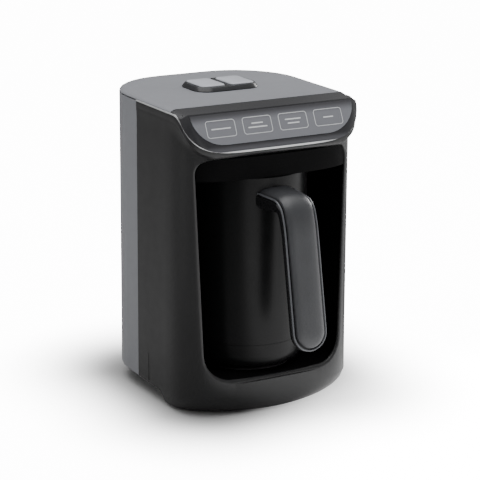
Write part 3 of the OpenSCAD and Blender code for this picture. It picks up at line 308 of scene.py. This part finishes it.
def ranged(nodes, links, value, low, high):
    """The value moved from the middle of a noise's range to low and high."""
    ranger = nodes.new("ShaderNodeMapRange")
    ranger.inputs["From Min"].default_value = NOISE_LOW
    ranger.inputs["From Max"].default_value = NOISE_HIGH
    ranger.inputs["To Min"].default_value = low
    ranger.inputs["To Max"].default_value = high
    links.new(value, ranger.inputs["Value"])
    return ranger.outputs["Result"]


def share_along(nodes, links, direction, start, end):
    """A map range node that goes smoothly from 0 at start to 1 at end, in metres along a line."""
    along = nodes.new("ShaderNodeVectorMath")
    along.operation = "DOT_PRODUCT"
    along.inputs[1].default_value = direction
    share = nodes.new("ShaderNodeMapRange")
    share.interpolation_type = "SMOOTHSTEP"
    share.inputs["From Min"].default_value = start
    share.inputs["From Max"].default_value = end
    links.new(place_input(nodes, links), along.inputs[0])
    links.new(along.outputs["Value"], share.inputs["Value"])
    return share


def fade_colour(material, direction, start, end, colour):
    """Turns the base colour of a material into another from start to end along a direction."""
    nodes, links = material.node_tree.nodes, material.node_tree.links
    colour_in = nodes["Principled BSDF"].inputs["Base Color"]
    mix = nodes.new("ShaderNodeMix")
    mix.data_type = "RGBA"
    mix.inputs["B"].default_value = (*colour, 1.0)
    links.new(colour_in.links[0].from_socket, mix.inputs["A"])
    share = share_along(nodes, links, direction, start, end)
    links.new(share.outputs["Result"], mix.inputs["Factor"])
    links.new(mix.outputs["Result"], colour_in)


def toned(nodes, links, value, colour, spread):
    """The colour, darker and lighter by spread as the value goes from low to high."""
    mix = nodes.new("ShaderNodeMix")
    mix.data_type = "RGBA"
    mix.inputs["A"].default_value = (*[c * (1.0 - spread) for c in colour], 1.0)
    mix.inputs["B"].default_value = (*[min(1.0, c * (1.0 + spread)) for c in colour], 1.0)
    links.new(ranged(nodes, links, value, 0.0, 1.0), mix.inputs["Factor"])
    return mix.outputs["Result"]


def bump_shader(nodes, links, shader, height, depth):
    """Gives the shader a bump of that depth from the height."""
    bump = nodes.new("ShaderNodeBump")
    bump.inputs["Strength"].default_value = depth
    bump.inputs["Distance"].default_value = BUMP_REACH
    links.new(height, bump.inputs["Height"])
    links.new(bump.outputs["Normal"], shader.inputs["Normal"])


def moulded(
    name, colour, roughness=0.42, grain=2600.0, depth=0.02, spread=0.05, metallic=0.0, shine=0.5
):
    """Moulded plastic: a fine grain in its surface and slight clouds of tone and gloss."""
    material, nodes, links, shader = shader_tree(name)
    vector = place_input(nodes, links)
    clouds = noise(nodes, links, vector, CLOUD_SCALE)
    patches = noise(nodes, links, vector, GLOSS_SCALE)
    low, high = roughness * (1.0 - GLOSS_SPREAD), roughness * (1.0 + GLOSS_SPREAD)
    links.new(toned(nodes, links, clouds, colour, spread), shader.inputs["Base Color"])
    links.new(ranged(nodes, links, patches, low, high), shader.inputs["Roughness"])
    bump_shader(nodes, links, shader, noise(nodes, links, vector, grain, detail=2.0), depth)
    shader.inputs["Metallic"].default_value = metallic
    shader.inputs["Specular IOR Level"].default_value = shine
    return material


def brushed(name, colour, roughness=0.3, stretch=(1.0, 1.0, 60.0)):
    """Metal with fine drawn lines along one axis."""
    material, nodes, links, shader = shader_tree(name)
    lines = noise(nodes, links, place_input(nodes, links, stretch), BRUSH_SCALE, detail=6.0)
    low, high = roughness * (1.0 - BRUSH_GLOSS_SPREAD), roughness * (1.0 + BRUSH_GLOSS_SPREAD)
    links.new(toned(nodes, links, lines, colour, BRUSH_SPREAD), shader.inputs["Base Color"])
    links.new(ranged(nodes, links, lines, low, high), shader.inputs["Roughness"])
    bump_shader(nodes, links, shader, lines, BRUSH_DEPTH)
    shader.inputs["Metallic"].default_value = 1.0
    return material


def finish(node, material):
    """Gives a CAD node its material."""
    slots = NODES[node].data.materials
    slots.clear()
    slots.append(material)


def finish_all(names, material):
    """Gives several CAD nodes one material."""
    for name in names:
        finish(name, material)


# ---------- meshes ----------


def smooth_copy(node, body, material):
    """A welded copy of a CAD node whose gentle curves are shaded smooth; it stands for the node."""
    mesh = bpy.data.meshes.new(node + "_skin")
    work = bmesh.new()
    work.from_mesh(NODES[node].data)
    bmesh.ops.remove_doubles(work, verts=work.verts, dist=WELD_GAP)
    bmesh.ops.dissolve_degenerate(work, edges=work.edges, dist=SLIVER_EDGE)
    for face in work.faces:
        face.smooth = True
    for edge in work.edges:
        edge.smooth = len(edge.link_faces) == 2 and edge.calc_face_angle(0.0) < SMOOTH_ANGLE
    work.to_mesh(mesh)
    work.free()
    if "custom_normal" in mesh.attributes:
        mesh.attributes.remove(mesh.attributes["custom_normal"])
    mesh.materials.clear()
    mesh.materials.append(material)
    piece = bpy.data.objects.new(node + "_skin", mesh)
    bpy.context.scene.collection.objects.link(piece)
    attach(piece, body)
    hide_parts(node)
    return piece


def new_piece(name, mesh_maker, body, material):
    """A piece whose mesh is filled by mesh_maker(bmesh)."""
    work = bmesh.new()
    mesh_maker(work)
    bmesh.ops.recalc_face_normals(work, faces=work.faces)
    mesh = bpy.data.meshes.new(name)
    work.to_mesh(mesh)
    work.free()
    mesh.materials.append(material)
    piece = bpy.data.objects.new(name, mesh)
    bpy.context.scene.collection.objects.link(piece)
    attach(piece, body)
    return piece


def rounded_outline(width, height, radius):
    """Points of a rounded rectangle about the origin, counter-clockwise."""
    points = []
    for side_x, side_y, start in ((1, 1, 0), (-1, 1, 90), (-1, -1, 180), (1, -1, 270)):
        for step in range(CORNER_STEPS + 1):
            angle = math.radians(start + 90.0 * step / CORNER_STEPS)
            points.append((
                side_x * (width / 2 - radius) + radius * math.cos(angle),
                side_y * (height / 2 - radius) + radius * math.sin(angle),
            ))
    return points


def ring(work, at, outer, inner):
    """A flat band between two outlines of equal length."""
    rim = [work.verts.new(at @ Vector((x, y, 0.0))) for x, y in outer]
    bore = [work.verts.new(at @ Vector((x, y, 0.0))) for x, y in inner]
    for here in range(len(rim)):
        after = (here + 1) % len(rim)
        work.faces.new((rim[here], rim[after], bore[after], bore[here]))


# ---------- stage ----------


class COFFEE_OT_lay_stage(bpy.types.Operator):
    """Sets up the camera, the floor and the soft lights"""

    bl_idname = "coffee.lay_stage"
    bl_label = "Lay Stage"

    def execute(self, context):
        stage = context.scene.coffee_stage
        self.add_camera(context, stage)
        self.add_floor(context, stage)
        self.add_sky(context, stage)
        for name, place, size, power in LIGHTS:
            self.add_light(context, name, place, size, getattr(stage, power))
        return {"FINISHED"}

    def add_camera(self, context, stage):
        """A long lens that looks down on the object from its left front."""
        camera = bpy.data.objects.new("camera", bpy.data.cameras.new("camera"))
        context.scene.collection.objects.link(camera)
        camera.data.sensor_width = 36.0
        camera.data.lens = stage.lens
        camera.location = stage.camera_place
        level = Euler((math.radians(90.0) - stage.camera_drop, 0.0, -stage.camera_turn)).to_matrix()
        camera.rotation_euler = (level @ Matrix.Rotation(stage.camera_roll, 3, "Z")).to_euler()
        context.scene.camera = camera

    def add_floor(self, context, stage):
        """The paper under the object, and the white glow that the camera sees on it further out, which
        fades towards the object as a painted soft shadow.

        The paper in front on the right glows by itself, so that the front has something to reflect.
        """
        paper, nodes, links, shader = shader_tree("floor_paper")
        shader.inputs["Base Color"].default_value = (*stage.floor_colour, 1.0)
        shader.inputs["Roughness"].default_value = 0.9
        shader.inputs["Emission Color"].default_value = (1.0, 1.0, 1.0, 1.0)
        right, front = (share_along(nodes, links, *place) for place in PAPER_GLOWS)
        front.inputs["To Max"].default_value = stage.front_glow
        both = nodes.new("ShaderNodeMath")
        both.operation = "MULTIPLY"
        links.new(right.outputs["Result"], both.inputs[0])
        links.new(front.outputs["Result"], both.inputs[1])
        links.new(both.outputs["Value"], shader.inputs["Emission Strength"])
        self.add_sheet(context, "floor", stage.floor_half, 0.0, paper)
        paint = self.glow_and_painted_shadow(stage)
        glow = self.add_sheet(context, "floor_glow", stage.floor_half, GLOW_LIFT, paint)
        glow.visible_diffuse = False
        glow.visible_glossy = False
        glow.visible_shadow = False

    def add_sheet(self, context, name, half, height, material):
        """A flat square on the floor."""
        mesh = bpy.data.meshes.new(name)
        signs = ((-1, -1), (1, -1), (1, 1), (-1, 1))
        mesh.from_pydata([(x * half, y * half, height) for x, y in signs], [], [(0, 1, 2, 3)])
        mesh.materials.append(material)
        sheet = bpy.data.objects.new(name, mesh)
        context.scene.collection.objects.link(sheet)
        return sheet

    def glow_and_painted_shadow(self, stage):
        """Clear paint whose glow rises with the distance from the object's footprint: a white backdrop,
        with a painted soft shadow round the footprint.
        """
        low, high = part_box("base_plate")
        middle, half = (low + high) / 2, (high - low) / 2
        material, nodes, links, shader = shader_tree("floor_glow")
        nodes.remove(shader)
        inward = nodes.new("ShaderNodeVectorMath")
        inward.operation = "SUBTRACT"
        inward.inputs[1].default_value = (middle.x, middle.y, 0.0)
        side = nodes.new("ShaderNodeVectorMath")
        side.operation = "ABSOLUTE"
        past = nodes.new("ShaderNodeVectorMath")
        past.operation = "SUBTRACT"
        past.inputs[1].default_value = (half.x - GLOW_INSET, half.y - GLOW_INSET, 0.0)
        outside = nodes.new("ShaderNodeVectorMath")
        outside.operation = "MAXIMUM"
        reach = nodes.new("ShaderNodeVectorMath")
        reach.operation = "LENGTH"
        # The glow's rise from the footprint paints a soft shadow round it
        ramp = nodes.new("ShaderNodeMapRange")
        ramp.interpolation_type = "SMOOTHERSTEP"
        ramp.inputs["From Min"].default_value = GLOW_START
        ramp.inputs["From Max"].default_value = stage.painted_shadow_reach
        ramp.inputs["To Max"].default_value = stage.floor_glow
        clear = nodes.new("ShaderNodeBsdfTransparent")
        shine = nodes.new("ShaderNodeEmission")
        both = nodes.new("ShaderNodeAddShader")
        links.new(place_input(nodes, links), inward.inputs[0])
        links.new(inward.outputs["Vector"], side.inputs[0])
        links.new(side.outputs["Vector"], past.inputs[0])
        links.new(past.outputs["Vector"], outside.inputs[0])
        links.new(outside.outputs["Vector"], reach.inputs[0])
        links.new(reach.outputs["Value"], ramp.inputs["Value"])
        links.new(ramp.outputs["Result"], shine.inputs["Strength"])
        links.new(clear.outputs[0], both.inputs[0])
        links.new(shine.outputs[0], both.inputs[1])
        links.new(both.outputs[0], nodes["Material Output"].inputs["Surface"])
        return material

    def add_sky(self, context, stage):
        """A room that is dim round the horizon, and brighter below, overhead and on the right."""
        world = bpy.data.worlds.new("studio")
        world.use_nodes = True
        nodes, links = world.node_tree.nodes, world.node_tree.links
        place = nodes.new("ShaderNodeTexCoord")
        height = nodes.new("ShaderNodeSeparateXYZ")
        share = nodes.new("ShaderNodeMapRange")
        share.inputs["From Min"].default_value = -1.0
        bands = nodes.new("ShaderNodeValToRGB")
        bands.color_ramp.interpolation = "EASE"
        stops = bands.color_ramp.elements
        for rise, grey in SKY_BANDS:
            if rise in (-1.0, 1.0):
                stop = stops[0 if rise < 0.0 else -1]
            else:
                stop = stops.new((rise + 1.0) / 2.0)
            stop.color = (grey, grey, grey, 1.0)
        links.new(place.outputs["Generated"], height.inputs["Vector"])
        links.new(height.outputs["Z"], share.inputs["Value"])
        links.new(share.outputs["Result"], bands.inputs["Fac"])
        side = nodes.new("ShaderNodeMapRange")
        side.interpolation_type = "SMOOTHSTEP"
        side.inputs["From Min"].default_value = SIDE_START
        side.inputs["From Max"].default_value = SIDE_FULL
        side.inputs["To Max"].default_value = stage.sky_side
        links.new(height.outputs["X"], side.inputs["Value"])
        both = nodes.new("ShaderNodeVectorMath")
        links.new(bands.outputs["Color"], both.inputs[0])
        links.new(side.outputs["Result"], both.inputs[1])
        links.new(both.outputs["Vector"], nodes["Background"].inputs["Color"])
        nodes["Background"].inputs["Strength"].default_value = stage.sky_strength
        context.scene.world = world

    def add_light(self, context, name, place, size, power):
        """A soft rectangular light that faces the middle of the object."""
        lamp = bpy.data.lights.new(name, "AREA")
        lamp.shape = "RECTANGLE"
        lamp.size, lamp.size_y = size
        lamp.energy = power
        light = bpy.data.objects.new(name, lamp)
        light.location = place
        light.rotation_euler = (LIGHT_TARGET - Vector(place)).to_track_quat("-Z", "Y").to_euler()
        context.scene.collection.objects.link(light)


# ---------- pieces ----------


class COFFEE_OT_finish_casing(bpy.types.Operator):
    """Finishes the front housing, the rear cover and the deck"""

    bl_idname = "coffee.finish_casing"
    bl_label = "Finish Casing"

    def execute(self, context):
        casing = context.scene.coffee_casing
        dark = moulded("casing_dark", casing.dark, roughness=0.36, shine=0.3)
        silver = moulded("casing_silver", casing.silver, roughness=casing.gloss, spread=0.03)
        # Painted light: a lighter copy of the deck's silver for the rear cover's dimmer side
        cover = moulded("cover_silver", casing.cover, roughness=casing.gloss, spread=0.03)
        smooth_copy("front_housing", MACHINE, dark)
        smooth_copy("rear_cover", MACHINE, cover)
        smooth_copy("top_cover", MACHINE, silver)
        return {"FINISHED"}


class COFFEE_OT_dress_panel(bpy.types.Operator):
    """Finishes the visor, its film and its bead, and prints the boxes on the panel"""

    bl_idname = "coffee.dress_panel"
    bl_label = "Dress Panel"

    def execute(self, context):
        panel = context.scene.coffee_panel
        strip = moulded("visor_gloss", panel.strip, roughness=0.25, depth=0.0, shine=0.4)
        film = moulded("panel_film", panel.film, roughness=0.35, depth=0.0, spread=0.03, shine=0.4)
        low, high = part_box("panel_overlay")
        # Painted shade along the film's upper edge
        fade_colour(film, (0.0, 0.0, 1.0), high.z - FILM_SHADE_HEIGHT, high.z, panel.painted_film_shade)
        # Painted highlight along the visor's foot
        fade_colour(strip, (0.0, 0.0, -1.0), -low.z, FOOT_HIGHLIGHT_HEIGHT - low.z, panel.foot)
        # The bead's light colour is partly a painted highlight along the rim's edge
        bead = moulded("bead_plating", panel.bead, roughness=0.3, depth=0.0, metallic=0.3)
        smooth_copy("visor", MACHINE, strip)
        smooth_copy("panel_overlay", MACHINE, film)
        smooth_copy("trim_bead", MACHINE, bead)
        self.print_boxes(panel)
        return {"FINISHED"}

    def print_boxes(self, panel):
        """Outlined boxes with plain bars in them, printed on the film."""
        ink = moulded("panel_ink", panel.ink, roughness=0.5, depth=0.0, spread=0.02)
        low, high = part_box("panel_overlay")
        lean = math.atan2(high.y - low.y, high.z - low.z)
        middle = Vector((0.0, (low.y + high.y) / 2, (low.z + high.z) / 2 + PRINT_RISE))
        plane = Matrix.Translation(middle) @ Matrix.Rotation(math.radians(90.0) - lean, 4, "X")

        def boxes(work):
            for i, bars in enumerate(BOX_BARS):
                across = (i - (len(BOX_BARS) - 1) / 2) * panel.box_pitch
                at = plane @ Matrix.Translation((across, 0.0, PRINT_LIFT))
                outer = rounded_outline(panel.box_width, panel.box_height, panel.box_corner)
                inner = rounded_outline(
                    panel.box_width - 2 * panel.line,
                    panel.box_height - 2 * panel.line,
                    panel.box_corner - panel.line,
                )
                ring(work, at, outer, inner)
                for place, share in bars:
                    bar = rounded_outline(panel.box_width * share, panel.line * BAR_LINES, panel.line)
                    work.faces.new([work.verts.new(at @ Vector((x, y + place, 0.0))) for x, y in bar])

        new_piece("panel_print", boxes, MACHINE, ink)


class COFFEE_OT_finish_niche(bpy.types.Operator):
    """Finishes the niche, its heater and its sensor"""

    bl_idname = "coffee.finish_niche"
    bl_label = "Finish Niche"

    def execute(self, context):
        inside = context.scene.coffee_inside
        liner = moulded("liner_black", inside.liner, roughness=0.5, shine=0.06)
        # Painted shade: a darker copy of the liner for the header in the brow's shade
        header = moulded("header_black", inside.header, roughness=0.5, shine=0.03)
        smooth_copy("niche_liner", MACHINE, liner)
        smooth_copy("niche_floor", MACHINE, liner)
        smooth_copy("niche_header", MACHINE, header)
        finish("heater_plate", moulded("heater_coating", inside.black, roughness=0.35))
        finish("plate_seal", moulded("seal_grey", inside.seal, roughness=0.7))
        finish_all(("heating_element", "heat_shield"), brushed("steel_plain", inside.steel))
        ceramic = moulded("ceramic_white", inside.ceramic, roughness=0.5)
        finish_all(("thermostat", "thermal_fuse"), ceramic)
        finish("foam_sensor", moulded("sensor_red", inside.sensor, roughness=0.1, depth=0.0))
        return {"FINISHED"}


class COFFEE_OT_finish_buttons(bpy.types.Operator):
    """Finishes the bezel, the two buttons and their springs"""

    bl_idname = "coffee.finish_buttons"
    bl_label = "Finish Buttons"

    def execute(self, context):
        buttons = context.scene.coffee_buttons
        bezel = moulded("bezel_dark", buttons.bezel, roughness=0.25, shine=0.25)
        cap = moulded("button_silver", buttons.cap, roughness=0.35)
        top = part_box("left_button")[1].z
        # Painted shade on the caps' sides, for the shadowed gap round them
        fade_colour(cap, (0.0, 0.0, -1.0), CAP_SHADE_START - top, CAP_SHADE_FULL - top, buttons.painted_cap_shade)
        smooth_copy("button_bezel", MACHINE, bezel)
        smooth_copy("left_button", LEFT_KEY, cap)
        smooth_copy("right_button", RIGHT_KEY, cap)
        steel = brushed("spring_steel", buttons.coil)
        for side in ("left", "right"):
            self.seat_spring(side + "_spring", side + "_button_press", steel)
        return {"FINISHED"}

    def seat_spring(self, node, joint, steel):
        """A smooth copy of a spring, with a mesh of its own."""
        spring = smooth_copy(node, MACHINE, steel)
        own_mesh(spring)


class COFFEE_OT_finish_pot(bpy.types.Operator):
    """Finishes the pot, its cup and its foot"""

    bl_idname = "coffee.finish_pot"
    bl_label = "Finish Pot"

    def execute(self, context):
        pot = context.scene.coffee_pot
        black = moulded("pot_black", pot.pot, roughness=0.33, spread=0.04, shine=0.15)
        smooth_copy("pot_body", POT, black)
        smooth_copy("pot_foot_ring", POT, black)
        finish("pot_cup", brushed("cup_steel", pot.cup, roughness=0.28))
        disc = brushed("disc_steel", pot.cup, roughness=0.35, stretch=(30.0, 1.0, 1.0))
        finish("pot_base_disc", disc)
        return {"FINISHED"}


class COFFEE_OT_finish_handle(bpy.types.Operator):
    """Finishes the strap handle, its soft front and its bead"""

    bl_idname = "coffee.finish_handle"
    bl_label = "Finish Handle"

    def execute(self, context):
        pot = context.scene.coffee_pot
        shell = moulded("handle_black", pot.shell, roughness=0.25, shine=0.2)
        grip = moulded("handle_grip", pot.grip, grain=1100.0, depth=0.5, spread=0.12, shine=0.4)
        # The handle bead's lighter colour is partly a painted highlight on the rim's edge
        bead = moulded("handle_bead", pot.bead, roughness=0.35, depth=0.0)
        smooth_copy("handle_shell", POT, shell)
        smooth_copy("handle_insert", POT, grip)
        smooth_copy("handle_bead", POT, bead)
        finish("handle_screw", brushed("screw_steel", pot.screw))
        return {"FINISHED"}


class COFFEE_OT_finish_inside(bpy.types.Operator):
    """Finishes the boards and the parts on them"""

    bl_idname = "coffee.finish_inside"
    bl_label = "Finish Inside"

    def execute(self, context):
        inside = context.scene.coffee_inside
        board = moulded("circuit_board", inside.board, roughness=0.4, depth=0.1, grain=900.0)
        finish_all(("control_board", "power_board", "sensor_board"), board)
        finish_all(("buzzer", "tact_switches"), moulded("component_black", inside.black, roughness=0.4))
        finish("transformer", brushed("iron_core", inside.iron, stretch=(1.0, 60.0, 1.0)))
        finish("relay", moulded("component_blue", inside.relay, roughness=0.35))
        finish_all(("board_screws", "base_screws"), brushed("fastener_steel", inside.steel))
        finish("board_brackets", moulded("bracket_white", inside.bracket, roughness=0.5))
        return {"FINISHED"}


class COFFEE_OT_finish_base(bpy.types.Operator):
    """Finishes the base plate, the feet and the cord gland"""

    bl_idname = "coffee.finish_base"
    bl_label = "Finish Base"

    def execute(self, context):
        inside = context.scene.coffee_inside
        finish("base_plate", moulded("base_black", inside.black, roughness=0.5))
        rubber = moulded("rubber_black", inside.rubber, roughness=0.75, depth=0.1)
        finish_all(("front_feet", "rear_feet", "cord_gland"), rubber)
        return {"FINISHED"}


class COFFEE_PT_sidebar(bpy.types.Panel):
    """Lists the steps in the sidebar of the 3D view."""

    bl_label = "Coffee Maker"
    bl_idname = "COFFEE_PT_sidebar"
    bl_space_type = "VIEW_3D"
    bl_region_type = "UI"
    bl_category = "Coffee Maker"

    def draw(self, context):
        for step in STEPS:
            self.layout.operator(step.bl_idname)


STEPS = (
    COFFEE_OT_lay_stage,
    COFFEE_OT_finish_casing,
    COFFEE_OT_dress_panel,
    COFFEE_OT_finish_niche,
    COFFEE_OT_finish_buttons,
    COFFEE_OT_finish_pot,
    COFFEE_OT_finish_handle,
    COFFEE_OT_finish_inside,
    COFFEE_OT_finish_base,
)
SETTINGS = {
    "coffee_stage": StageSettings,
    "coffee_casing": CasingSettings,
    "coffee_panel": PanelSettings,
    "coffee_buttons": ButtonSettings,
    "coffee_pot": PotSettings,
    "coffee_inside": InsideSettings,
}


def register():
    """Registers the settings, the operators and the panel."""
    for name, group in SETTINGS.items():
        bpy.utils.register_class(group)
        setattr(bpy.types.Scene, name, PointerProperty(type=group))
    for step in STEPS:
        bpy.utils.register_class(step)
    bpy.utils.register_class(COFFEE_PT_sidebar)


def unregister():
    """Removes what register added."""
    bpy.utils.unregister_class(COFFEE_PT_sidebar)
    for step in reversed(STEPS):
        bpy.utils.unregister_class(step)
    for name, group in SETTINGS.items():
        delattr(bpy.types.Scene, name)
        bpy.utils.unregister_class(group)


def main():
    """Runs every step in order."""
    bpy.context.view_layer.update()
    register()
    for step in STEPS:
        family, action = step.bl_idname.split(".")
        getattr(getattr(bpy.ops, family), action)()


if __name__ == "__main__":
    main()
